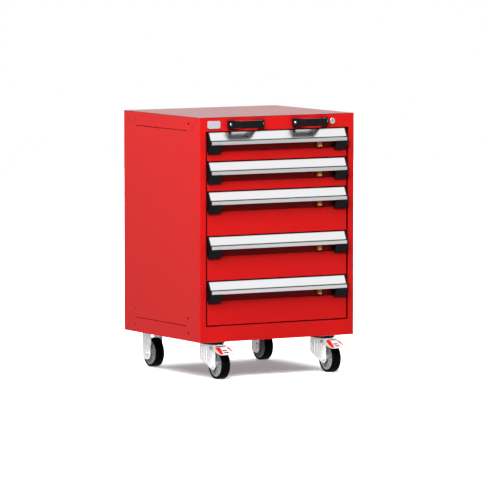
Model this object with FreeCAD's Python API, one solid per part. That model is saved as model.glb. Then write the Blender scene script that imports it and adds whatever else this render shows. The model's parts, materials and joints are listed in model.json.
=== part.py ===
"""Five-drawer steel cabinet on two swivel and two rigid casters.

Units are millimetres. X runs across the cabinet (+X is the user's right when
facing the drawers), -Y is the drawer side and +Z is up. The origin is on the
floor, under the centre of the overall footprint.
"""

import FreeCAD, Part
import math
import os

V = FreeCAD.Vector

# Housing
HOUSING_WIDTH = 609.6
HOUSING_DEPTH = 533.4
HOUSING_HEIGHT = 765.2
SHEET = 1.5
CORNER_BEND = 3.0
FACE_SEAM = 3.5
STILE = 23.0
TOP_RAIL = 47.6
BOTTOM_RAIL = 54.0
FRAME_LIP = 15.0
REAR_FLANGE = 20.0

# Drawers, from the top down: the cells fill the opening below a gap under the top rail
CELL_HEIGHTS = (101.6, 101.6, 152.4, 152.4, 152.4)
GAP_UNDER_RAIL = 3.2
GAP_OVER_PULL = 1.0
GAP_UNDER_FRONT = 3.5
DRAWER_SETBACK = 5.0
DRAWER_FRONT_HALF = 275.5
DRAWER_FRONT_DEPTH = 10.0
FRONT_PROUD = 3.0
RECESS_DEPTH = 4.0
RECESS_HEIGHT = 66.0
TRAY_HALF = 262.0
TRAY_DEPTH = 450.0
TRAY_SHEET = 1.2
TRAY_RISE = 10.0
TRAY_SHORTER_THAN_CELL = 19.0
DIVIDER_SLOT_PITCH = 50.8

# Slides
RUNNER_CENTRE = 31.0
ROLLER_RADIUS = 11.0
RUNNER_REACH = 4.5
CARRIAGE_LENGTH = 460.0

# Pulls and latches
PULL_HALF = 268.0
PULL_HEIGHT = 41.7
PULL_SLOPE_HEIGHT = 27.0
PULL_SLOPE_REACH = 15.5
PULL_REACH = 22.0
PULL_WALL = 2.0
PULL_GROOVE = 3.0
PULL_GROOVE_DEPTH = 6.0
PULL_STEP = 4.0
CAP_HALF = 273.0
CAP_BLOCK_WIDTH = 47.0
CAP_BOTTOM = 71.0
CAP_BLOCK_REACH = 8.0
LATCH_X = 167.0
LATCH_WIDTH = 14.0
LATCH_TOP = 44.5
LATCH_BOTTOM = 60.0
LATCH_TRAVEL = 6.0

# Push handles, badge and lock on the top rail
FITTINGS_BELOW_TOP = 25.4
HANDLE_X = 127.0
HANDLE_LENGTH = 140.0
HANDLE_HOLE_SPACING = 124.0
HANDLE_HEIGHT = 26.0
HANDLE_REACH = 47.0
HANDLE_GRIP_HALF = 44.0
HANDLE_FOOT = 10.0
SCREW_HOLE_RADIUS = 2.6
LOCK_X = 218.0
LOCK_BEZEL_RADIUS = 10.0
LOCK_BARREL_RADIUS = 8.6
LOCK_PLUG_RADIUS = 6.0
BADGE_X = -250.0

# Casters
CASTER_HEIGHT = 127.8
WHEEL_RADIUS = 50.8
WHEEL_WIDTH = 31.75
RIM_RADIUS = 41.8
RIB_COUNT = 10
AXLE_RADIUS = 6.0
RUNNING_GAP = 0.05
CASTER_X = 219.6
SWIVEL_FROM_FRONT = 60.7
TRAIL = 43.0
REAR_AXLE_FROM_FRONT = 476.7
PLATE_THICKNESS = 3.0
BOLT_RADIUS = 4.0
BOLT_HEAD_RADIUS = 7.4
RING_RADIUS = 39.5
RING_HEIGHT = 7.0
FORK_INNER = 21.5
FORK_SHEET = 2.5
PEDAL_REACH = 53.3
PEDAL_WIDTH = 58.0
PEDAL_SHEET = 2.0

# Accessory holes in the side panels
SIDE_HOLE_RADIUS = 4.0
SIDE_HOLE_HALF_SPACING = 187.0
SIDE_HOLE_HEIGHTS = (27.2, 78.0, 741.2)

# Places that follow from the sizes above
FRONT = PEDAL_REACH - (HOUSING_DEPTH + PEDAL_REACH) / 2
BACK = FRONT + HOUSING_DEPTH
MIDDLE_Y = (FRONT + BACK) / 2
HALF = HOUSING_WIDTH / 2
BASE = CASTER_HEIGHT
TOP = BASE + HOUSING_HEIGHT
OPENING_HALF = HALF - STILE
OPENING_LOW = BASE + BOTTOM_RAIL
OPENING_HIGH = TOP - TOP_RAIL
RAIL_MIDDLE = TOP - FITTINGS_BELOW_TOP
FACE = FRONT + DRAWER_SETBACK
CELL_TOPS = tuple(OPENING_HIGH - GAP_UNDER_RAIL - sum(CELL_HEIGHTS[:i]) for i in range(5))
SWIVEL_Y = FRONT + SWIVEL_FROM_FRONT
FRONT_AXLE_Y = SWIVEL_Y - TRAIL
REAR_AXLE_Y = FRONT + REAR_AXLE_FROM_FRONT
RING_BOTTOM = CASTER_HEIGHT - PLATE_THICKNESS - RING_HEIGHT
FORK_TOP = RING_BOTTOM - 1.0
FORK_OUTER = FORK_INNER + FORK_SHEET


# ---------------------------------------------------------------- shape tools

def box(x0, x1, y0, y1, z0, z1):
    """A box between two corners, given in any order."""
    low = V(min(x0, x1), min(y0, y1), min(z0, z1))
    return Part.makeBox(abs(x1 - x0), abs(y1 - y0), abs(z1 - z0), low)


def rod(radius, start, end):
    """A round bar between two points."""
    axis = V(*end) - V(*start)
    return Part.makeCylinder(radius, axis.Length, V(*start), axis)


def hex_prism(across_flats, start, end):
    """A hexagonal bar along X or Z between two points."""
    axis = V(*end) - V(*start)
    side = V(0, 0, 1) if abs(axis.z) < 1e-6 else V(1, 0, 0)
    other = axis.cross(side).normalize()
    radius = across_flats / math.sqrt(3)
    corners = []
    for i in range(7):
        angle = math.radians(60 * i)
        corners.append(V(*start) + side * radius * math.cos(angle) + other * radius * math.sin(angle))
    return Part.Face(Part.makePolygon(corners)).extrude(axis)


def prism_x(points, x0, x1):
    """Extrudes a closed outline of (y, z) points from x0 to x1."""
    ring = [V(x0, y, z) for y, z in points]
    return Part.Face(Part.makePolygon(ring + ring[:1])).extrude(V(x1 - x0, 0, 0))


def prism_y(points, y0, y1):
    """Extrudes a closed outline of (x, z) points from y0 to y1."""
    ring = [V(x, y0, z) for x, z in points]
    return Part.Face(Part.makePolygon(ring + ring[:1])).extrude(V(0, y1 - y0, 0))


def prism_z(points, z0, z1):
    """Extrudes a closed outline of (x, y) points from z0 to z1."""
    ring = [V(x, y, z0) for x, y in points]
    return Part.Face(Part.makePolygon(ring + ring[:1])).extrude(V(0, 0, z1 - z0))


def edges_along(shape, axis, test=None):
    """Straight edges parallel to an axis whose middle passes a test."""
    found = []
    for edge in shape.Edges:
        if len(edge.Vertexes) != 2 or not isinstance(edge.Curve, Part.Line):
            continue
        run = edge.Vertexes[1].Point - edge.Vertexes[0].Point
        if run.cross(axis).Length > 1e-6 * run.Length:
            continue
        middle = (edge.Vertexes[1].Point + edge.Vertexes[0].Point) * 0.5
        if test is None or test(middle):
            found.append(edge)
    return found


def rounded(shape, radius, axis, test=None):
    """Rounds the straight edges along an axis."""
    return shape.makeFillet(radius, edges_along(shape, axis, test))


def mirrored(shape):
    """The same shape on the other side of the middle plane."""
    return shape.mirror(V(0, 0, 0), V(1, 0, 0))


def pair(shape):
    """A shape and its mirror image, as separate solids."""
    return [shape, mirrored(shape)]


def save(name, *solids):
    """Writes one sub-part, as one solid or as a group of separate solids."""
    shape = solids[0] if len(solids) == 1 else Part.makeCompound(list(solids))
    shape.exportStep(f"parts/{name}.step")


X, Y, Z = V(1, 0, 0), V(0, 1, 0), V(0, 0, 1)


# -------------------------------------------------------------------- housing

def side_outline():
    """Plan of the left panel's folded sheet, from its front edge to its rear flange."""
    outer, inner = -HALF, -HALF + SHEET
    front_edge = -HALF + FACE_SEAM
    flange = -HALF + REAR_FLANGE
    return [
        (front_edge, FRONT), (outer, FRONT), (outer, BACK), (flange, BACK),
        (flange, BACK - SHEET), (inner, BACK - SHEET), (inner, FRONT + SHEET), (front_edge, FRONT + SHEET),
    ]


def mitre_groove(sign_y, low_corner):
    """A shallow 45 degree groove across one corner of the left side face."""
    width, depth, run = 1.2, 0.4, 68.0
    start_y = MIDDLE_Y + sign_y * (HOUSING_DEPTH / 2 - 12.7)
    start_z = BASE if low_corner else TOP - SHEET
    groove = box(-HALF - 1, -HALF + depth, -width / 2, width / 2, -5, run)
    lean = 45 * sign_y if low_corner else 180 - 45 * sign_y
    groove.rotate(V(0, 0, 0), X, lean)
    groove.translate(V(0, start_y, start_z))
    return groove


def side_panel():
    """The left side: a folded sheet with seam slots, mitre grooves and accessory holes."""
    panel = prism_z(side_outline(), BASE, TOP - SHEET)
    at_outer = lambda p: abs(p.x + HALF) < 0.1
    panel = rounded(panel, CORNER_BEND, Z, lambda p: at_outer(p) and p.y < MIDDLE_Y)
    panel = rounded(panel, CORNER_BEND - 0.6, Z, lambda p: at_outer(p) and p.y > MIDDLE_Y)
    slot_half, slot_width = 177.5, 2.0
    for centre in (OPENING_LOW - 2.8, TOP - 48.0):
        low = centre - slot_width / 2
        y0, y1 = MIDDLE_Y - slot_half, MIDDLE_Y + slot_half
        panel = panel.cut(box(-HALF - 1, -HALF + 2, y0, y1, low, low + slot_width))
    for sign in (-1, 1):
        for low_corner in (True, False):
            panel = panel.cut(mitre_groove(sign, low_corner))
        for height in SIDE_HOLE_HEIGHTS:
            y = MIDDLE_Y + sign * SIDE_HOLE_HALF_SPACING
            z = BASE + height
            panel = panel.cut(rod(SIDE_HOLE_RADIUS, (-HALF - 1, y, z), (-HALF + 3, y, z)))
    return panel


def front_frame():
    """Welded face frame: stiles and rails round the drawer opening, with a lip turned inwards."""
    edge = HALF - FACE_SEAM
    frame = box(-edge, edge, FRONT, FRONT + SHEET, BASE, TOP - SHEET)
    lip = SHEET
    frame = frame.fuse(box(-OPENING_HALF - lip, OPENING_HALF + lip, FRONT, FRONT + FRAME_LIP,
                           OPENING_LOW - lip, OPENING_HIGH + lip))
    y0, y1 = FRONT - 1, FRONT + FRAME_LIP + 1
    frame = frame.cut(box(-OPENING_HALF, OPENING_HALF, y0, y1, OPENING_LOW, OPENING_HIGH))
    for centre in (-HANDLE_X, HANDLE_X):
        for offset in (-HANDLE_HOLE_SPACING / 2, HANDLE_HOLE_SPACING / 2):
            x = centre + offset
            frame = frame.cut(rod(SCREW_HOLE_RADIUS, (x, y0, RAIL_MIDDLE), (x, y1, RAIL_MIDDLE)))
    lock_hole = LOCK_BARREL_RADIUS + 0.1
    frame = frame.cut(rod(lock_hole, (LOCK_X, y0, RAIL_MIDDLE), (LOCK_X, y1, RAIL_MIDDLE)))
    return frame.removeSplitter()


def top_panel():
    """Flat top sheet with softened edges, resting on the side, back and front sheets."""
    top = box(-HALF, HALF, FRONT, BACK, TOP - SHEET, TOP)
    top = rounded(top, CORNER_BEND, Z)
    rim = [e for e in top.Edges if all(abs(v.Z - TOP) < 1e-6 for v in e.Vertexes)]
    return top.makeFillet(1.0, rim)


def back_panel():
    """Rear sheet, fixed against the inside of the side panels' rear flanges."""
    inner = HALF - SHEET
    return box(-inner, inner, BACK - 2 * SHEET, BACK - SHEET, BASE + SHEET, TOP - SHEET)


def caster_centres():
    """Plate centres: (x, y) of the four casters, front pair first."""
    return [(sign * CASTER_X, y) for y in (SWIVEL_Y, REAR_AXLE_Y) for sign in (-1, 1)]


def plate_holes():
    """Centres of the sixteen caster bolts."""
    return [(x + dx, y + dy) for x, y in caster_centres() for dx in (-38, 38) for dy in (-31, 31)]


def bottom_pan():
    """Floor of the housing, drilled for the caster bolts."""
    inner = HALF - SHEET
    pan = box(-inner, inner, FRONT + SHEET, BACK - SHEET, BASE, BASE + SHEET)
    for x, y in plate_holes():
        pan = pan.cut(rod(BOLT_RADIUS + 0.1, (x, y, BASE - 1), (x, y, BASE + 3)))
    return pan


def slotted_post(y):
    """Left-hand upright channel with a ladder of slots for the drawer slides."""
    face, back, half_width = -OPENING_HALF - 1.7, -HALF + SHEET, 15.0
    low, high = BASE + SHEET, TOP - SHEET
    outline = [
        (face, y - half_width), (back, y - half_width), (back, y - half_width + SHEET),
        (face - SHEET, y - half_width + SHEET), (face - SHEET, y + half_width - SHEET),
        (back, y + half_width - SHEET), (back, y + half_width), (face, y + half_width),
    ]
    post = prism_z(outline, low, high)
    height = low + 30
    while height < high - 30:
        post = post.cut(box(face - 3, face + 1, y - 5, y + 5, height, height + 12))
        height += 50.8
    return post


def slide_centre(cell_top, cell_height):
    """Height of the slides' centre line in one drawer cell."""
    return cell_top - cell_height + RUNNER_CENTRE


def cabinet_slide(centre):
    """Left-hand fixed channel that a carriage's outer rollers run in."""
    outer, web, lip = -282.5, -281.0, -271.5
    half = ROLLER_RADIUS + 1.0
    low, high = centre - half, centre + half
    y0, y1 = FACE + 22, FACE + 490
    outline = [
        (outer, low - SHEET), (lip, low - SHEET), (lip, low), (web, low),
        (web, high), (lip, high), (lip, high + SHEET), (outer, high + SHEET),
    ]
    return prism_y(outline, y0, y1)


# -------------------------------------------------------------------- drawers

def drawer_front(cell_top, cell_height):
    """Shallow red pan, stepped back behind the pull, with a slot for the latch stem."""
    high = cell_top - GAP_OVER_PULL
    low = cell_top - cell_height + GAP_UNDER_FRONT
    step, half, back = high - RECESS_HEIGHT, DRAWER_FRONT_HALF, FACE + DRAWER_FRONT_DEPTH
    proud, recess = FACE - FRONT_PROUD, FACE + RECESS_DEPTH
    front = prism_x([
        (recess, high), (recess, step), (proud, step), (proud, low), (back, low), (back, high),
    ], -half, half)
    front = front.cut(prism_x([
        (recess + SHEET, high - SHEET), (recess + SHEET, step - SHEET), (proud + SHEET, step - SHEET),
        (proud + SHEET, low + SHEET), (back + 1, low + SHEET), (back + 1, high - SHEET),
    ], -half + SHEET, half - SHEET))
    front = rounded(front, 1.0, X, lambda p: abs(p.y - proud) < 0.01)
    slot_low, slot_high = high - LATCH_TOP - 11.0, high - LATCH_TOP - 3.5
    slot_left, slot_right = LATCH_X - 5, LATCH_X + 5 + LATCH_TRAVEL
    return front.cut(box(slot_left, slot_right, recess - 1, recess + 2, slot_low, slot_high))


def drawer_tray(cell_top, cell_height):
    """Open steel tray with two folded ledges on each side and slots for dividers."""
    low = cell_top - cell_height + TRAY_RISE
    high = low + cell_height - TRAY_SHORTER_THAN_CELL
    y0, y1 = FACE + DRAWER_FRONT_DEPTH, FACE + DRAWER_FRONT_DEPTH + TRAY_DEPTH
    tray = box(-TRAY_HALF, TRAY_HALF, y0, y1, low, high)
    centre = slide_centre(cell_top, cell_height)
    for offset in (ROLLER_RADIUS + 1.5, -ROLLER_RADIUS - 1.5 - SHEET):
        for side in (-1, 1):
            tray = tray.fuse(box(side * (TRAY_HALF - 0.5), side * (TRAY_HALF + RUNNER_REACH), y0 + 5, y1,
                                 centre + offset, centre + offset + SHEET))
    inside = TRAY_HALF - TRAY_SHEET
    tray = tray.cut(box(-inside, inside, y0 + TRAY_SHEET, y1 - TRAY_SHEET, low + TRAY_SHEET, high + 1))
    slots = int((TRAY_DEPTH - 60) // DIVIDER_SLOT_PITCH) + 1
    start = (y0 + y1) / 2 - (slots - 1) * DIVIDER_SLOT_PITCH / 2
    for i in range(slots):
        y = start + i * DIVIDER_SLOT_PITCH
        tray = tray.cut(box(-TRAY_HALF - 1, TRAY_HALF + 1, y - 1.2, y + 1.2, centre + 17, high - 10))
    return tray


def pull_profile(top):
    """Outline of the pull: a hollow wedge over a hooked finger lip, as (y, z) points."""
    slope_foot = top - PULL_SLOPE_HEIGHT
    lip_top = slope_foot - PULL_GROOVE
    web_low = lip_top - PULL_WALL
    bottom = top - PULL_HEIGHT
    groove_back = FACE - PULL_SLOPE_REACH + PULL_GROOVE_DEPTH
    return [
        (FACE, top), (FACE - PULL_WALL, top), (FACE - PULL_SLOPE_REACH, slope_foot),
        (groove_back, slope_foot - 0.6), (groove_back, lip_top),
        (FACE - PULL_REACH, lip_top), (FACE - PULL_REACH, bottom),
        (FACE - PULL_REACH + PULL_WALL, bottom), (FACE - PULL_REACH + PULL_WALL, web_low),
        (FACE + RECESS_DEPTH, web_low), (FACE + RECESS_DEPTH, top - PULL_STEP), (FACE, top - PULL_STEP),
    ]


def drawer_pull(cell_top):
    """Full-width aluminium extrusion with a closed hollow behind its sloped face."""
    top = cell_top - GAP_OVER_PULL
    pull = prism_x(pull_profile(top), -PULL_HALF, PULL_HALF)
    hollow_back, hollow_low = FACE - PULL_WALL, top - PULL_SLOPE_HEIGHT + 3.0
    hollow = [
        (hollow_back, top - 6.0), (FACE - PULL_SLOPE_REACH + 5.0, hollow_low), (hollow_back, hollow_low),
    ]
    pull = pull.cut(prism_x(hollow, -PULL_HALF - 1, PULL_HALF + 1))
    outer = lambda p: abs(p.y - (FACE - PULL_REACH)) < 0.01
    pull = rounded(pull, 0.9, X, outer)
    slope_foot = lambda p: abs(p.y - (FACE - PULL_SLOPE_REACH)) < 0.01
    return rounded(pull, 0.5, X, slope_foot)


def end_cap(cell_top):
    """Left-hand moulded cap: it closes the pull's end and fills the corner below the lip."""
    top = cell_top - GAP_OVER_PULL
    bottom, step = top - CAP_BOTTOM, top - RECESS_HEIGHT + 0.2
    block_top = top - PULL_HEIGHT - 0.2
    nose, back = FACE - PULL_REACH - 0.8, FACE + RECESS_DEPTH
    foot = [
        (nose, block_top - 1.5), (FACE - CAP_BLOCK_REACH, bottom), (FACE - FRONT_PROUD, bottom),
        (FACE - FRONT_PROUD, step), (back, step),
    ]
    plate = prism_x([
        (FACE, top), (FACE - 2.6, top), (FACE - PULL_SLOPE_REACH - 0.6, top - PULL_SLOPE_HEIGHT),
        (nose, top - PULL_SLOPE_HEIGHT - 2.0), *foot, (back, top - PULL_STEP), (FACE, top - PULL_STEP),
    ], -CAP_HALF, -PULL_HALF)
    block_end = -CAP_HALF + CAP_BLOCK_WIDTH
    block = prism_x([(back, block_top), (nose, block_top), *foot], -PULL_HALF - 1, block_end)
    return plate.fuse(block).removeSplitter()


def drawer_latch(cell_top):
    """Thumb tab under the pull's lip, with a stem and a rod behind the drawer front."""
    top = cell_top - GAP_OVER_PULL - LATCH_TOP
    low = cell_top - GAP_OVER_PULL - LATCH_BOTTOM
    half = LATCH_WIDTH / 2
    tab = box(LATCH_X - half, LATCH_X + half, FACE - 11, FACE + RECESS_DEPTH - 0.5, low, top)
    tab = rounded(tab, 2.0, Z, lambda p: p.y < FACE - 1)
    stem_low, stem_high = top - 9.5, top - 5.0
    stem = box(LATCH_X - 4, LATCH_X + 4, FACE + RECESS_DEPTH - 1, FACE + 8, stem_low, stem_high)
    bar = box(LATCH_X - 4, TRAY_HALF, FACE + 7, FACE + 9, stem_low, stem_high)
    return tab.fuse(stem).fuse(bar).removeSplitter()


def carriage(centre):
    """Left-hand travelling slide bar: outer rollers at the back, inner rollers at the front."""
    y0 = FACE + DRAWER_FRONT_DEPTH
    outer, inner = -270.0, -268.0
    bar = box(outer, inner, y0 + 5, y0 + 5 + CARRIAGE_LENGTH - 10, centre - 10, centre + 10)
    for i in range(3):
        y = y0 + 250 + 100 * i
        bar = bar.fuse(rod(ROLLER_RADIUS, (outer + 0.5, y, centre), (outer - 9.0, y, centre)))
        y = y0 + 20 + 100 * i
        bar = bar.fuse(rod(ROLLER_RADIUS, (inner - 0.5, y, centre), (inner + 4.6, y, centre)))
    return bar


# -------------------------------------------- handles, badge and lock

def push_handle(centre):
    """Bridge handle: two flat feet, slanted legs and a straight grip."""
    half, foot_inner, thickness = HANDLE_LENGTH / 2, 54.0, 10.0
    outline = [
        (-half, 0), (-half, -HANDLE_FOOT), (-foot_inner, -HANDLE_FOOT), (-HANDLE_GRIP_HALF, -HANDLE_REACH),
        (HANDLE_GRIP_HALF, -HANDLE_REACH), (foot_inner, -HANDLE_FOOT), (half, -HANDLE_FOOT), (half, 0),
        (foot_inner - thickness, 0), (HANDLE_GRIP_HALF - thickness, thickness - HANDLE_REACH),
        (thickness - HANDLE_GRIP_HALF, thickness - HANDLE_REACH), (thickness - foot_inner, 0),
    ]
    low = RAIL_MIDDLE - HANDLE_HEIGHT / 2
    handle = prism_z([(centre + x, FRONT + y) for x, y in outline], low, low + HANDLE_HEIGHT)
    handle = rounded(handle, 3.0, Z, lambda p: abs(p.y - FRONT) > 1 and abs(p.x - centre) < half - 1)
    handle = rounded(handle, 2.0, Z, lambda p: abs(p.x - centre) > half - 1 and p.y < FRONT - 1)
    handle = rounded(handle, 1.5, X, lambda p: p.y < FRONT - 1)
    for offset in (-HANDLE_HOLE_SPACING / 2, HANDLE_HOLE_SPACING / 2):
        x = centre + offset
        handle = handle.cut(rod(SCREW_HOLE_RADIUS, (x, FRONT - 20, RAIL_MIDDLE), (x, FRONT + 1, RAIL_MIDDLE)))
    return handle


def handle_screw(x):
    """Domed socket screw through a handle foot and the top rail."""
    head_back, head_height = FRONT - HANDLE_FOOT, 2.8
    head = rod(4.6, (x, head_back, RAIL_MIDDLE), (x, head_back - head_height, RAIL_MIDDLE))
    rim = [e for e in head.Edges if e.BoundBox.YMax < head_back - head_height + 0.1]
    head = head.makeFillet(1.8, rim)
    socket = rod(1.6, (x, head_back - 1.2, RAIL_MIDDLE), (x, head_back - 4, RAIL_MIDDLE))
    shank = rod(SCREW_HOLE_RADIUS - 0.1, (x, head_back, RAIL_MIDDLE), (x, FRONT + 8, RAIL_MIDDLE))
    return head.fuse(shank).cut(socket)


def badge_plate():
    """Blank plate with rounded corners on the left of the top rail."""
    half_width, half_height, thickness = 25.0, 13.0, 1.5
    plate = box(BADGE_X - half_width, BADGE_X + half_width, FRONT - thickness, FRONT,
                RAIL_MIDDLE - half_height, RAIL_MIDDLE + half_height)
    plate = rounded(plate, 7.0, Y)
    rim = [e for e in plate.Edges if e.BoundBox.YMax < FRONT - thickness + 0.01]
    return plate.makeFillet(0.6, rim)


def lock_cylinder():
    """Fixed barrel of the lock, with its bezel in front of the rail."""
    at = lambda y: (LOCK_X, y, RAIL_MIDDLE)
    bezel_front = FRONT - 3.0
    bezel = rod(LOCK_BEZEL_RADIUS, at(bezel_front), at(FRONT))
    rim = [e for e in bezel.Edges if e.BoundBox.YMax < bezel_front + 0.1]
    bezel = bezel.makeFillet(1.2, rim)
    barrel = bezel.fuse(rod(LOCK_BARREL_RADIUS, at(FRONT - 0.5), at(FRONT + 18)))
    return barrel.cut(rod(LOCK_PLUG_RADIUS + RUNNING_GAP, at(FRONT - 4), at(FRONT + 19)))


def lock_plug():
    """Turning plug with its round key well in front and a short cam behind."""
    at = lambda y: (LOCK_X, y, RAIL_MIDDLE)
    plug = rod(LOCK_PLUG_RADIUS, at(FRONT - 2.4), at(FRONT + 22))
    plug = plug.cut(rod(3.6, at(FRONT - 4), at(FRONT + 6)))
    plug = plug.fuse(rod(1.6, at(FRONT - 1.5), at(FRONT + 7)))
    plug = plug.cut(box(LOCK_X - 0.8, LOCK_X + 0.8, FRONT - 4, FRONT + 6, RAIL_MIDDLE + 2, RAIL_MIDDLE + 5))
    cam = box(LOCK_X - 6, LOCK_X + 17, FRONT + 19, FRONT + 22, RAIL_MIDDLE - 6, RAIL_MIDDLE + 6)
    cam = rounded(cam, 5.0, Y)
    return plug.fuse(cam)


def lock_bar():
    """Bar behind the right stile, lifted by the lock, with an arm above the opening."""
    y0, y1 = FRONT + 26, FRONT + 29
    bar = box(286, 300, y0, y1, OPENING_LOW + 10, OPENING_HIGH + 14)
    return bar.fuse(box(LOCK_X + 6, 300, y0, y1, OPENING_HIGH + 4, OPENING_HIGH + 14)).removeSplitter()


# -------------------------------------------------------------------- casters

def countersink(radius, x, y):
    """Cone that narrows from the underside of a caster plate to the bolt's shank."""
    low = CASTER_HEIGHT - PLATE_THICKNESS
    return Part.makeCone(radius, radius - PLATE_THICKNESS, PLATE_THICKNESS, V(x, y, low))


def caster_plate(x, y, swivels):
    """Mounting plate with four countersunk holes; a swivel caster's plate carries the kingpin."""
    low = CASTER_HEIGHT - PLATE_THICKNESS
    plate = box(x - 47.5, x + 47.5, y - 40, y + 40, low, CASTER_HEIGHT)
    plate = rounded(plate, 8.0, Z)
    for dx in (-38, 38):
        for dy in (-31, 31):
            hole = rod(BOLT_RADIUS + 0.1, (x + dx, y + dy, low - 1), (x + dx, y + dy, CASTER_HEIGHT + 1))
            plate = plate.cut(hole.fuse(countersink(BOLT_HEAD_RADIUS + 0.1, x + dx, y + dy)))
    if swivels:
        nut_top = FORK_TOP - FORK_SHEET - 0.5
        plate = plate.fuse(rod(7.0, (x, y, low + 1), (x, y, nut_top - 0.5)))
        plate = plate.fuse(rod(11.0, (x, y, nut_top), (x, y, nut_top - 3.5)))
    return plate


def swivel_ring(x):
    """Black raceway ring between a front plate and its fork."""
    ring = rod(RING_RADIUS, (x, SWIVEL_Y, RING_BOTTOM), (x, SWIVEL_Y, RING_BOTTOM + RING_HEIGHT))
    ring = ring.makeFillet(1.5, [e for e in ring.Edges if e.BoundBox.ZMax < RING_BOTTOM + 0.01])
    return ring.cut(rod(9.0, (x, SWIVEL_Y, RING_BOTTOM - 1), (x, SWIVEL_Y, CASTER_HEIGHT)))


def caster_bolt(x, y):
    """Countersunk bolt up through the plate and the housing floor, with its nut inside."""
    under_plate = CASTER_HEIGHT - PLATE_THICKNESS
    above_pan = BASE + SHEET
    bolt = rod(BOLT_RADIUS, (x, y, under_plate), (x, y, above_pan + 9))
    bolt = bolt.fuse(countersink(BOLT_HEAD_RADIUS, x, y))
    bolt = bolt.fuse(hex_prism(13.0, (x, y, above_pan), (x, y, above_pan + 6.0)))
    return bolt.cut(hex_prism(5.0, (x, y, under_plate - 1), (x, y, under_plate + 2.0)))


def axle(x, y):
    """Wheel bolt with its head and nut outside the fork legs."""
    z = WHEEL_RADIUS
    bolt = rod(AXLE_RADIUS, (x - FORK_OUTER - 1, y, z), (x + FORK_OUTER + 9, y, z))
    bolt = bolt.fuse(hex_prism(18.0, (x - FORK_OUTER - 6, y, z), (x - FORK_OUTER, y, z)))
    return bolt.fuse(hex_prism(18.0, (x + FORK_OUTER, y, z), (x + FORK_OUTER + 7, y, z)))


def fork(leg_outline, round_corners, x, y, top, top_y0, top_y1):
    """Folded fork: two legs of one outline under a top sheet, drilled for the axle."""
    legs = []
    for x0, x1 in ((x - FORK_OUTER, x - FORK_INNER), (x + FORK_INNER, x + FORK_OUTER)):
        leg = prism_x(leg_outline, x0, x1)
        legs.append(rounded(leg, round_corners, X, lambda p: p.z < WHEEL_RADIUS))
    crown = box(x - FORK_OUTER, x + FORK_OUTER, top_y0, top_y1, top - FORK_SHEET, top)
    shell = crown.fuse(legs).removeSplitter()
    shell = rounded(shell, 2.4, Y, lambda p: abs(p.z - top) < 0.01)
    return shell.cut(rod(AXLE_RADIUS, (x - 30, y, WHEEL_RADIUS), (x + 30, y, WHEEL_RADIUS)))


def front_fork(x):
    """Swivel fork with deep ribbed skirts that trail the wheel behind the kingpin."""
    lead, trail = FRONT_AXLE_Y - 12.0, FRONT_AXLE_Y + 92.0
    z = WHEEL_RADIUS
    outline = [
        (lead, FORK_TOP), (trail, FORK_TOP), (trail, z + 13), (trail - 55, z - 7),
        (FRONT_AXLE_Y + 11, z - 19), (FRONT_AXLE_Y - 1, z - 20), (lead, z - 11),
    ]
    shell = fork(outline, 5.0, x, FRONT_AXLE_Y, FORK_TOP, lead, trail)
    for i in range(3):
        y = trail - 12 - 17 * i
        for side in (-1, 1):
            rib_x = x + side * (FORK_OUTER - 1.2)
            rib = rod(2.8, (rib_x, y, z + 16 - 6 * i), (rib_x, y, FORK_TOP - 8))
            outside = box(x + side * (FORK_OUTER - 0.5), x + side * 40, y - 9, y + 9, 0, TOP)
            shell = shell.fuse(rib.common(outside))
    shell = shell.cut(rod(7.0 + RUNNING_GAP, (x, SWIVEL_Y, FORK_TOP - 5), (x, SWIVEL_Y, FORK_TOP + 1)))
    return shell.cut(rod(2.5 + RUNNING_GAP, (x - 30, *pedal_pivot()), (x + 30, *pedal_pivot())))


def rear_fork(x):
    """Rigid fork whose broad legs reach further behind the axle and end in round corners."""
    y, z, top = REAR_AXLE_Y, WHEEL_RADIUS, CASTER_HEIGHT - PLATE_THICKNESS
    lead, trail = y - 22.0, y + 36.0
    outline = [
        (lead, top), (trail, top), (trail, z - 25), (lead + 4, z - 25), (lead + 4, z + 22), (lead, z + 26),
    ]
    return fork(outline, 18.0, x, y, top, lead, trail)


def pedal_pivot():
    """Height and depth of the brake pedal's pin, as (y, z)."""
    return FRONT_AXLE_Y + 10.0, FORK_TOP - 8.5


def brake_pedal(x):
    """Foot pedal: a sloped, slotted plate with folded cheeks that straddle the fork on a pin."""
    pin_y, pin_z = pedal_pivot()
    half = PEDAL_WIDTH / 2
    tip, back = FRONT - PEDAL_REACH, FRONT_AXLE_Y - 15.0
    bend, back_z, bend_z = tip + 10.0, FORK_TOP - 6.8, FORK_TOP - 27.8
    slope = (back_z - bend_z) / (back - bend)
    plate = prism_x([
        (back, back_z), (bend, bend_z), (tip, bend_z + 1.5), (tip, bend_z + 1.5 - PEDAL_SHEET),
        (bend, bend_z - PEDAL_SHEET), (back, back_z - PEDAL_SHEET),
    ], x - half, x + half)
    pedal = rounded(plate, 14.0, Z, lambda p: p.y < tip + 1)
    for y in (tip + 22.0, tip + 34.0):
        pedal = pedal.cut(box(x - 7, x + 7, y - 2, y + 2, bend_z - 5, back_z + 5))
    cheek_tip, cheek_tip_z = bend + 6.0, bend_z + 6.0 * slope
    for side in (-1, 1):
        cheek = prism_x([
            (pin_y + 6, pin_z + 4), (back, back_z), (cheek_tip, cheek_tip_z), (cheek_tip, cheek_tip_z - 4),
            (back - 16, back_z - 17), (back, back_z - 14), (pin_y + 6, pin_z - 6),
        ], x + side * half, x + side * (half - PEDAL_SHEET))
        pedal = pedal.fuse(cheek)
    pedal = pedal.fuse(rod(2.5, (x - half - 1.5, pin_y, pin_z), (x + half + 1.5, pin_y, pin_z)))
    return pedal.removeSplitter()


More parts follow.
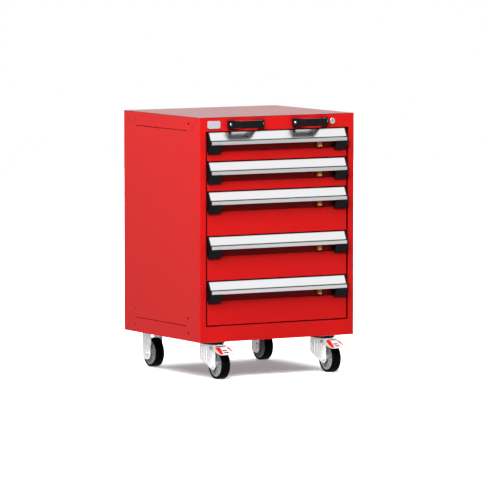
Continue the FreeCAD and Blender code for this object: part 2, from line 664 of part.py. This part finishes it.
def tyre(x, y):
    """Rubber tread with rounded shoulders."""
    half = WHEEL_WIDTH / 2
    at = lambda offset: (x + offset, y, WHEEL_RADIUS)
    tread = rod(WHEEL_RADIUS, at(-half), at(half)).cut(rod(RIM_RADIUS, at(-half - 1), at(half + 1)))
    outer_rims = [e for e in tread.Edges if e.BoundBox.ZMax > 2 * WHEEL_RADIUS - 0.1]
    shoulders = [e for e in outer_rims if e.BoundBox.XLength < 0.1]
    return tread.makeFillet(4.0, shoulders)


def hub(x, y):
    """Ribbed wheel centre: rim, web, boss and ribs on each face."""
    half = WHEEL_WIDTH / 2
    rib_half = half - 4
    boss_radius, boss_half = 13.0, FORK_INNER - 0.4
    at = lambda offset: (x + offset, y, WHEEL_RADIUS)
    body = rod(RIM_RADIUS, at(-half + 1.5), at(half - 1.5))
    body = body.cut(rod(RIM_RADIUS - 4.5, at(-half), at(-3))).cut(rod(RIM_RADIUS - 4.5, at(3), at(half)))
    body = body.fuse(rod(boss_radius, at(-boss_half), at(boss_half)))
    rib_low, rib_high = WHEEL_RADIUS + boss_radius - 1, WHEEL_RADIUS + RIM_RADIUS - 4
    for i in range(RIB_COUNT):
        rib = box(x - rib_half, x + rib_half, y - 1.2, y + 1.2, rib_low, rib_high)
        rib.rotate(V(*at(0)), X, 360 * i / RIB_COUNT)
        body = body.fuse(rib)
    return body.cut(rod(AXLE_RADIUS + RUNNING_GAP, at(-30), at(30))).removeSplitter()


# ------------------------------------------------------------------- assembly

def build_housing():
    left = side_panel()
    save("side_panel_left", left)
    save("side_panel_right", mirrored(left))
    save("front_frame", front_frame())
    save("top_panel", top_panel())
    save("back_panel", back_panel())
    save("bottom_pan", bottom_pan())
    posts = [slotted_post(FRONT + 60), slotted_post(FRONT + 440)]
    save("slotted_posts", *posts, *[mirrored(post) for post in posts])
    slides = []
    for cell_top, cell_height in zip(CELL_TOPS, CELL_HEIGHTS):
        slides += pair(cabinet_slide(slide_centre(cell_top, cell_height)))
    save("cabinet_slides", *slides)


def build_drawers():
    for number, (cell_top, cell_height) in enumerate(zip(CELL_TOPS, CELL_HEIGHTS), start=1):
        name = f"drawer_{number}_"
        save(name + "tray", drawer_tray(cell_top, cell_height))
        save(name + "front", drawer_front(cell_top, cell_height))
        save(name + "pull", drawer_pull(cell_top))
        save(name + "end_caps", *pair(end_cap(cell_top)))
        save(name + "latch", drawer_latch(cell_top))
        save(name + "carriages", *pair(carriage(slide_centre(cell_top, cell_height))))


def build_top_rail():
    save("push_handles", push_handle(-HANDLE_X), push_handle(HANDLE_X))
    half = HANDLE_HOLE_SPACING / 2
    save("handle_screws", *[handle_screw(c + d) for c in (-HANDLE_X, HANDLE_X) for d in (-half, half)])
    save("badge_plate", badge_plate())
    save("lock_cylinder", lock_cylinder())
    save("lock_plug", lock_plug())
    save("lock_bar", lock_bar())


def build_casters():
    plates = [caster_plate(x, y, swivels=y == SWIVEL_Y) for x, y in caster_centres()]
    save("caster_plates", *plates)
    save("caster_bolts", *[caster_bolt(x, y) for x, y in plate_holes()])
    save("swivel_rings", swivel_ring(-CASTER_X), swivel_ring(CASTER_X))
    rear = []
    for x in (-CASTER_X, CASTER_X):
        rear += [rear_fork(x), axle(x, REAR_AXLE_Y)]
    save("rear_forks", *rear)
    for side, x in (("left", -CASTER_X), ("right", CASTER_X)):
        save(f"front_fork_{side}", front_fork(x), axle(x, FRONT_AXLE_Y))
        save(f"brake_pedal_{side}", brake_pedal(x))
        for end, y in (("front", FRONT_AXLE_Y), ("rear", REAR_AXLE_Y)):
            save(f"{end}_wheel_{side}_hub", hub(x, y))
            save(f"{end}_wheel_{side}_tyre", tyre(x, y))


os.makedirs("parts", exist_ok=True)
build_housing()
build_drawers()
build_top_rail()
build_casters()
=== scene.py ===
import json
import math

import bmesh
import bpy
from mathutils import Matrix, Vector


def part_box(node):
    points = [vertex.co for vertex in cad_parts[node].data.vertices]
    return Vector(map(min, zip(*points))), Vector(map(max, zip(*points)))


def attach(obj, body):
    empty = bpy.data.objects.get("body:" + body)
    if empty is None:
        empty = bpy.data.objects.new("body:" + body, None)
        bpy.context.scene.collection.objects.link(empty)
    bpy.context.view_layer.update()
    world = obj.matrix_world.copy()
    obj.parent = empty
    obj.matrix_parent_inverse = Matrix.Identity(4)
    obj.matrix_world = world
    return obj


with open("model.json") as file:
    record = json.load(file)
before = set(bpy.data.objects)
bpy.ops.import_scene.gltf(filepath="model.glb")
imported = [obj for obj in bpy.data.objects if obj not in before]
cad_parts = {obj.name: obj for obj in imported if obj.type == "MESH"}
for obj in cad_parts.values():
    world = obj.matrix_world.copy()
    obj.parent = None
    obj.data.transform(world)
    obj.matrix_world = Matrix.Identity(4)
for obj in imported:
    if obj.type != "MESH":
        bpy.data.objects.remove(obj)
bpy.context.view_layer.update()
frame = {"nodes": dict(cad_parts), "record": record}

# Sizes of the whole cabinet, in metres, read from the frame
SIDE_LOW, SIDE_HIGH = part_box("side_panel_left")
TOP_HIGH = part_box("top_panel")[1]
FRONT_Y = SIDE_LOW.y
BACK_Y = SIDE_HIGH.y
HALF_WIDTH = TOP_HIGH.x
BASE_Z = SIDE_LOW.z
TOP_Z = TOP_HIGH.z
AIM_BELOW_TOP = 0.381
MIDDLE = Vector((0, (FRONT_Y + BACK_Y) / 2, TOP_Z - AIM_BELOW_TOP))
MM = 0.001

# The sloped plate of a brake pedal, in mm behind the cabinet's front and above its base
PEDAL_BACK = (2.7, -17.8)
PEDAL_BEND = (-43.3, -38.8)

# A pedal's two slots, as fractions of the way from its plate's back to its bend
PEDAL_SLOTS = (0.478, 0.739)

# Camera
CAMERA_AZIMUTH = math.radians(-30.095)
CAMERA_ELEVATION = math.radians(4.802)
CAMERA_DISTANCE = 17.5639
CAMERA_RIGHT = 0.01415
CAMERA_DOWN = 0.0732
CAMERA_LENS = 376.8
CAMERA_SENSOR = 36.0

# Light: brightness 1 is the white of the background
FLOOR_WHITE = 0.9
FLOOR_BOUNCE = 0.03
FLOOR_FILL = 0.28
FLOOR_REFLECTED = 0.75
FLOOR_SUN = 4.2
AMBIENT = 0.045
BACK_REFLECTED = 1.0
FRONT_REFLECTED = 0.5
REFLECTION_FADE = 0.4
SOFTBOX_DISTANCE = 6.0
KEY_AZIMUTH = -46
KEY_ELEVATION = 52
KEY_SIZE = 4.5
KEY_RADIANCE = 12.2
CARD_AZIMUTH = 40.6
CARD_ELEVATION = 39.7
CARD_SIZE = 4.8
CARD_RADIANCE = 0.52
REAR_AZIMUTH = 150
REAR_ELEVATION = 40
REAR_SIZE = 4.0
REAR_RADIANCE = 2.0
CASTER_AZIMUTH = -45
CASTER_ELEVATION = 4
CASTER_SIZE = 4.0
CASTER_RADIANCE = 9.5
CASTER_METAL = ("fork_left", "fork_right", "rear_forks", "swivel_rings", "_hub")

bpy.context.scene.view_settings.view_transform = "Standard"


def collection_link(obj):
    """Puts an object in the scene and gives it back."""
    bpy.context.scene.collection.objects.link(obj)
    return obj


# --------------------------------------------------------------------- camera

def add_camera():
    """A long lens from the front left, a little above the cabinet's middle."""
    back = Vector((
        math.sin(CAMERA_AZIMUTH) * math.cos(CAMERA_ELEVATION),
        -math.cos(CAMERA_AZIMUTH) * math.cos(CAMERA_ELEVATION),
        math.sin(CAMERA_ELEVATION),
    ))
    right = Vector((math.cos(CAMERA_AZIMUTH), math.sin(CAMERA_AZIMUTH), 0))
    up = back.cross(right)
    data = bpy.data.cameras.new("camera")
    data.sensor_width = CAMERA_SENSOR
    data.lens = CAMERA_LENS
    data.clip_end = 100
    camera = collection_link(bpy.data.objects.new("camera", data))
    place = MIDDLE + back * CAMERA_DISTANCE + right * CAMERA_RIGHT - up * CAMERA_DOWN
    turn = Matrix((right, up, back)).transposed().to_4x4()
    camera.matrix_world = Matrix.Translation(place) @ turn
    bpy.context.scene.camera = camera


# ---------------------------------------------------------- floor and lights

def ray_switch(tree, ray, when_true, otherwise):
    """A brightness that depends on the kind of ray, such as "Is Camera Ray"."""
    path = tree.nodes.new("ShaderNodeLightPath")
    node = tree.nodes.new("ShaderNodeMix")
    tree.links.new(path.outputs[ray], node.inputs["Factor"])
    for socket, value in (("A", otherwise), ("B", when_true)):
        if isinstance(value, float):
            node.inputs[socket].default_value = value
        else:
            tree.links.new(value, node.inputs[socket])
    return node.outputs["Result"]


def add_floor():
    """A matt white floor that looks bright to the camera but throws little light back."""
    half = 9.0
    corners = [(-half, -half, 0), (half, -half, 0), (half, half, 0), (-half, half, 0)]
    mesh = bpy.data.meshes.new("floor")
    mesh.from_pydata(corners, [], [(0, 1, 2, 3)])
    floor = collection_link(bpy.data.objects.new("floor", mesh))
    material = bpy.data.materials.new("floor")
    material.use_nodes = True
    shader = material.node_tree.nodes["Principled BSDF"]
    shade = ray_switch(material.node_tree, "Is Camera Ray", FLOOR_WHITE, FLOOR_BOUNCE)
    material.node_tree.links.new(shade, shader.inputs["Base Color"])
    shader.inputs["Roughness"].default_value = 1.0
    shader.inputs["Specular IOR Level"].default_value = 0.0
    shader.inputs["Emission Color"].default_value = (1, 1, 1, 1)
    reflected = ray_switch(material.node_tree, "Is Glossy Ray", FLOOR_REFLECTED, 0.0)
    fill = ray_switch(material.node_tree, "Is Camera Ray", FLOOR_FILL, reflected)
    material.node_tree.links.new(fill, shader.inputs["Emission Strength"])
    mesh.materials.append(material)
    return floor


def add_softbox(name, azimuth, elevation, size, radiance):
    """A square light of a given radiance, aimed at the cabinet from a compass direction."""
    data = bpy.data.lights.new(name, "AREA")
    data.shape = "SQUARE"
    data.size = size
    data.energy = radiance * math.pi * size * size
    light = collection_link(bpy.data.objects.new(name, data))
    azimuth, elevation = math.radians(azimuth), math.radians(elevation)
    outward = Vector((
        math.sin(azimuth) * math.cos(elevation),
        -math.cos(azimuth) * math.cos(elevation),
        math.sin(elevation),
    ))
    light.location = MIDDLE + outward * SOFTBOX_DISTANCE
    light.rotation_euler = (-outward).to_track_quat("-Z", "Y").to_euler()
    return light


def add_floor_sun():
    """A very soft light from straight above."""
    data = bpy.data.lights.new("floor_sun", "SUN")
    data.energy = FLOOR_SUN
    data.angle = math.radians(75)
    return collection_link(bpy.data.objects.new("floor_sun", data))


def link_light(light, objects, state):
    """Lets a light reach only some objects (INCLUDE) or every object but those (EXCLUDE)."""
    receivers = bpy.data.collections.new(light.name + "_receivers")
    for obj in objects:
        receivers.objects.link(obj)
    for member in receivers.collection_objects:
        member.light_linking.link_state = state
    light.light_linking.receiver_collection = receivers


def add_world():
    """White behind the object, an even ambient light, and reflections that are brighter behind it."""
    world = bpy.data.worlds.new("studio")
    world.use_nodes = True
    tree = world.node_tree
    direction = tree.nodes.new("ShaderNodeTexCoord")
    axes = tree.nodes.new("ShaderNodeSeparateXYZ")
    tree.links.new(direction.outputs["Generated"], axes.inputs["Vector"])
    fade = tree.nodes.new("ShaderNodeMapRange")
    fade.interpolation_type = "SMOOTHSTEP"
    fade.inputs["From Min"].default_value = -REFLECTION_FADE
    fade.inputs["From Max"].default_value = REFLECTION_FADE
    fade.inputs["To Min"].default_value = FRONT_REFLECTED
    fade.inputs["To Max"].default_value = BACK_REFLECTED
    tree.links.new(axes.outputs["Y"], fade.inputs["Value"])
    bounced = ray_switch(tree, "Is Glossy Ray", fade.outputs["Result"], AMBIENT)
    strength = ray_switch(tree, "Is Camera Ray", 1.0, bounced)
    tree.links.new(strength, tree.nodes["Background"].inputs["Strength"])
    tree.nodes["Background"].inputs["Color"].default_value = (1, 1, 1, 1)
    bpy.context.scene.world = world


def add_lights(floor):
    """The world, the softboxes, and the lights that reach only the floor or only the casters."""
    add_world()
    key = add_softbox("key_softbox", KEY_AZIMUTH, KEY_ELEVATION, KEY_SIZE, KEY_RADIANCE)
    link_light(key, [frame["nodes"]["top_panel"]], "EXCLUDE")
    add_softbox("front_card", CARD_AZIMUTH, CARD_ELEVATION, CARD_SIZE, CARD_RADIANCE)
    add_softbox("rear_softbox", REAR_AZIMUTH, REAR_ELEVATION, REAR_SIZE, REAR_RADIANCE)
    link_light(add_floor_sun(), [floor], "INCLUDE")
    casters = [node for name, node in frame["nodes"].items() if name.endswith(CASTER_METAL)]
    fill = add_softbox("caster_fill", CASTER_AZIMUTH, CASTER_ELEVATION, CASTER_SIZE, CASTER_RADIANCE)
    link_light(fill, casters, "INCLUDE")


# ------------------------------------------------------------------ materials

class Finish:
    """A Principled material with helpers for object-space detail."""

    def __init__(self, name, color, roughness, metallic=0.0):
        self.material = bpy.data.materials.new(name)
        self.material.use_nodes = True
        self.tree = self.material.node_tree
        self.shader = self.tree.nodes["Principled BSDF"]
        self.put("Base Color", (*color, 1))
        self.put("Roughness", roughness)
        self.put("Metallic", metallic)
        self.color = color
        self.coordinates = self.tree.nodes.new("ShaderNodeTexCoord").outputs["Object"]

    def put(self, socket, value):
        self.shader.inputs[socket].default_value = value

    def link(self, output, socket):
        self.tree.links.new(output, socket)

    def noise(self, scale, detail=2.0, stretch=(1, 1, 1)):
        """A noise texture in metres: scale is features per metre, stretched along each axis."""
        mapping = self.tree.nodes.new("ShaderNodeMapping")
        mapping.inputs["Scale"].default_value = stretch
        self.link(self.coordinates, mapping.inputs["Vector"])
        texture = self.tree.nodes.new("ShaderNodeTexNoise")
        texture.inputs["Scale"].default_value = scale
        texture.inputs["Detail"].default_value = detail
        self.link(mapping.outputs["Vector"], texture.inputs["Vector"])
        return texture.outputs["Fac"]

    def ranged(self, value, low, high):
        """Maps 0..1 to low..high."""
        node = self.tree.nodes.new("ShaderNodeMapRange")
        node.inputs["To Min"].default_value = low
        node.inputs["To Max"].default_value = high
        self.link(value, node.inputs["Value"])
        return node.outputs["Result"]

    def vary_roughness(self, value, low, high):
        self.link(self.ranged(value, low, high), self.shader.inputs["Roughness"])

    def vary_color(self, value, darker, lighter):
        """Mixes the base colour between two multiples of itself."""
        mix = self.tree.nodes.new("ShaderNodeMix")
        mix.data_type = "RGBA"
        mix.inputs["A"].default_value = (*[c * darker for c in self.color], 1)
        mix.inputs["B"].default_value = (*[min(1, c * lighter) for c in self.color], 1)
        self.link(value, mix.inputs["Factor"])
        self.link(mix.outputs["Result"], self.shader.inputs["Base Color"])

    def paint_recess_shade(self, reach):
        """Paints shade into the base colour: multiplies it by how open the surface is within that
        reach, in metres.
        """
        recess_shade = self.tree.nodes.new("ShaderNodeAmbientOcclusion")
        recess_shade.inputs["Distance"].default_value = reach
        colored = self.shader.inputs["Base Color"].links[0].from_socket
        self.link(colored, recess_shade.inputs["Color"])
        self.link(recess_shade.outputs["Color"], self.shader.inputs["Base Color"])

    def bump(self, height, distance):
        """Tilts the surface as if the height, 0 to 1, stood that many metres proud."""
        node = self.tree.nodes.new("ShaderNodeBump")
        node.inputs["Distance"].default_value = distance
        self.link(height, node.inputs["Height"])
        self.link(node.outputs["Normal"], self.shader.inputs["Normal"])


def red_powder_coat():
    finish = Finish("red_powder_coat", (0.82, 0.0125, 0.013), 0.3)
    finish.put("Specular IOR Level", 0.12)
    finish.vary_color(finish.noise(3.0), 0.98, 1.02)
    # Painted shade: the base colour darkens in gaps, recesses and under each pull's lip, within 4 cm
    finish.paint_recess_shade(0.04)
    finish.vary_roughness(finish.noise(11.0, 3.0), 0.26, 0.34)
    finish.bump(finish.noise(900.0, 1.0), 0.00002)
    return finish.material


def satin_aluminium():
    finish = Finish("satin_aluminium", (0.86, 0.86, 0.87), 0.2, 1.0)
    finish.vary_roughness(finish.noise(1500.0, 2.0, (0.02, 1, 1)), 0.17, 0.24)
    finish.vary_color(finish.noise(30.0, 2.0, (0.1, 1, 1)), 0.97, 1.02)
    # Painted shade: the base colour darkens in the pull's grooves and recesses, within 8 mm
    finish.paint_recess_shade(0.008)
    return finish.material


def badge_face():
    finish = Finish("badge_face", (0.66, 0.69, 0.76), 0.3, 0.3)
    finish.vary_roughness(finish.noise(400.0, 2.0, (0.1, 1, 1)), 0.25, 0.38)
    return finish.material


def black_moulding():
    finish = Finish("black_moulding", (0.008, 0.006, 0.007), 0.45)
    finish.put("Specular IOR Level", 0.12)
    finish.vary_roughness(finish.noise(60.0, 3.0), 0.4, 0.52)
    finish.bump(finish.noise(2200.0, 1.0), 0.00004)
    return finish.material


def zinc_plate():
    finish = Finish("bright_zinc", (0.92, 0.92, 0.93), 0.25, 0.3)
    finish.vary_roughness(finish.noise(90.0, 3.0), 0.18, 0.34)
    finish.vary_color(finish.noise(45.0, 3.0), 0.95, 1.01)
    finish.bump(finish.noise(400.0, 2.0), 0.00002)
    return finish.material


def slide_zinc():
    finish = Finish("slide_zinc", (0.62, 0.63, 0.65), 0.35, 0.8)
    finish.vary_roughness(finish.noise(120.0, 3.0), 0.28, 0.42)
    finish.bump(finish.noise(800.0, 2.0, (1, 0.1, 1)), 0.00002)
    return finish.material


def grey_powder_coat():
    finish = Finish("grey_powder_coat", (0.42, 0.42, 0.43), 0.5)
    finish.vary_color(finish.noise(8.0), 0.96, 1.04)
    finish.bump(finish.noise(900.0, 1.0), 0.00005)
    return finish.material


def orange_moulding():
    finish = Finish("orange_moulding", (1.0, 0.42, 0.08), 0.3)
    finish.vary_roughness(finish.noise(200.0), 0.25, 0.38)
    finish.bump(finish.noise(1500.0, 1.0), 0.00003)
    return finish.material


def bright_nickel():
    finish = Finish("bright_nickel", (0.82, 0.82, 0.82), 0.15, 0.85)
    finish.vary_roughness(finish.noise(300.0, 2.0), 0.1, 0.22)
    finish.bump(finish.noise(600.0, 2.0), 0.00001)
    return finish.material


def black_coat():
    finish = Finish("black_coat", (0.003, 0.003, 0.003), 0.4)
    finish.put("Specular IOR Level", 0.15)
    finish.vary_roughness(finish.noise(150.0, 2.0), 0.35, 0.5)
    finish.bump(finish.noise(900.0, 2.0), 0.00003)
    return finish.material


def grey_nylon():
    finish = Finish("grey_nylon", (0.27, 0.27, 0.28), 0.42)
    finish.vary_color(finish.noise(70.0, 2.0), 0.95, 1.05)
    finish.bump(finish.noise(1800.0, 1.0), 0.00004)
    return finish.material


def black_rubber():
    finish = Finish("black_rubber", (0.003, 0.003, 0.0033), 0.6)
    finish.put("Specular IOR Level", 0.04)
    finish.vary_roughness(finish.noise(80.0, 3.0), 0.52, 0.68)
    finish.bump(finish.noise(1500.0, 2.0), 0.00005)
    return finish.material


MATERIALS = {
    "red_paint": red_powder_coat(),
    "inner_steel": grey_powder_coat(),
    "slide_steel": slide_zinc(),
    "black_plastic": black_moulding(),
    "bright_steel": bright_nickel(),
    "badge_aluminium": badge_face(),
    "pull_aluminium": satin_aluminium(),
    "orange_plastic": orange_moulding(),
    "zinc_steel": zinc_plate(),
    "black_paint": black_coat(),
    "grey_plastic": grey_nylon(),
    "tyre_rubber": black_rubber(),
}
SLOT_OF = {part["node"]: part["material_slot"] for part in frame["record"]["subparts"]}


def dress_frame():
    """Gives every CAD node the material of its slot."""
    for name, node in frame["nodes"].items():
        node.data.materials.clear()
        node.data.materials.append(MATERIALS[SLOT_OF[name]])


# --------------------------------------------------------------- added pieces

def add_piece(name, bm, body, material):
    """Turns finished mesh code into an object that rides on a body."""
    bmesh.ops.recalc_face_normals(bm, faces=bm.faces)
    mesh = bpy.data.meshes.new(name)
    bm.to_mesh(mesh)
    bm.free()
    mesh.materials.append(material)
    piece = collection_link(bpy.data.objects.new(name, mesh))
    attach(piece, body)


def add_slab(bm, outline, thickness, edge):
    """A flat slab on an outline of points, raised along its normal, with a bevelled rim."""
    low = [bm.verts.new(point) for point in outline]
    normal = (outline[1] - outline[0]).cross(outline[2] - outline[0]).normalized()
    high = [bm.verts.new(point + normal * thickness) for point in outline]
    bm.faces.new(low)
    top = bm.faces.new(high)
    for i in range(len(low)):
        j = (i + 1) % len(low)
        bm.faces.new((low[i], low[j], high[j], high[i]))
    bmesh.ops.bevel(bm, geom=list(top.edges), offset=edge, segments=2, profile=0.5, affect="EDGES")


def add_dome(bm, centre, normal, radius, height):
    """A low round rivet head on a surface."""
    side = normal.orthogonal().normalized()
    other = normal.cross(side)
    count, rings = 16, []
    for step in range(5):
        angle = math.radians(90 * step / 5)
        reach, rise = radius * math.cos(angle), height * math.sin(angle)
        ring = []
        for i in range(count):
            turn = 2 * math.pi * i / count
            ring.append(bm.verts.new(
                centre + normal * rise + (side * math.cos(turn) + other * math.sin(turn)) * reach,
            ))
        rings.append(ring)
    for lower, upper in zip(rings, rings[1:]):
        for i in range(count):
            j = (i + 1) % count
            bm.faces.new((lower[i], lower[j], upper[j], upper[i])).smooth = True
    tip = bm.verts.new(centre + normal * height)
    for i in range(count):
        bm.faces.new((rings[-1][i], rings[-1][(i + 1) % count], tip)).smooth = True


def pedal_point(middle_x, across, along):
    """A point on a pedal's plate: mm across from its middle, and 0 at the back to 1 at the bend."""
    depth = PEDAL_BACK[0] + (PEDAL_BEND[0] - PEDAL_BACK[0]) * along
    height = PEDAL_BACK[1] + (PEDAL_BEND[1] - PEDAL_BACK[1]) * along + 0.1
    return Vector((middle_x + across * MM, FRONT_Y + depth * MM, BASE_Z + height * MM))


def add_pedal_trim(side):
    """Red painted flashes and two black rubber treads on a brake pedal."""
    low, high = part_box("brake_pedal_" + side)
    middle_x = (low.x + high.x) / 2
    flashes = bmesh.new()
    for corners in (
        ((-28, 0.03), (-28, 0.97), (-17, 0.97), (-7, 0.03)),
        ((17, 0.1), (25, 0.66), (28, 0.66), (28, 0.1)),
    ):
        add_slab(flashes, [pedal_point(middle_x, *corner) for corner in corners], 0.5 * MM, 0.2 * MM)
    add_piece("pedal_flashes_" + side, flashes, "pedal_" + side, MATERIALS["red_paint"])
    treads = bmesh.new()
    for along in PEDAL_SLOTS:
        outline = []
        for i in range(16):
            turn = 2 * math.pi * i / 16
            across = math.copysign(6.5, math.cos(turn)) + 3.0 * math.cos(turn)
            outline.append(pedal_point(middle_x, across, along - 0.066 * math.sin(turn)))
        outline.reverse()
        add_slab(treads, outline, 1.2 * MM, 0.4 * MM)
    add_piece("pedal_treads_" + side, treads, "pedal_" + side, MATERIALS["tyre_rubber"])


def add_back_rivets():
    """Rivet heads down both edges of the back panel and along its top and bottom."""
    rivets = bmesh.new()
    rivet_radius, rivet_height = 0.0042, 0.0014
    from_side, from_end, spacing = 0.011, 0.03, 0.147
    run = TOP_Z - BASE_Z - 2 * from_end
    heights = [BASE_Z + from_end + run * i / 5 for i in range(6)]
    places = [(sign * (HALF_WIDTH - from_side), height) for height in heights for sign in (-1, 1)]
    places += [(x, height) for height in (heights[0], heights[-1]) for x in (-spacing, 0.0, spacing)]
    for x, height in places:
        add_dome(rivets, Vector((x, BACK_Y, height)), Vector((0, 1, 0)), rivet_radius, rivet_height)
    add_piece("back_rivets", rivets, "root", MATERIALS["red_paint"])


# ------------------------------------------------------------------- assembly

add_camera()
add_lights(add_floor())
dress_frame()
add_pedal_trim("left")
add_pedal_trim("right")
add_back_rivets()
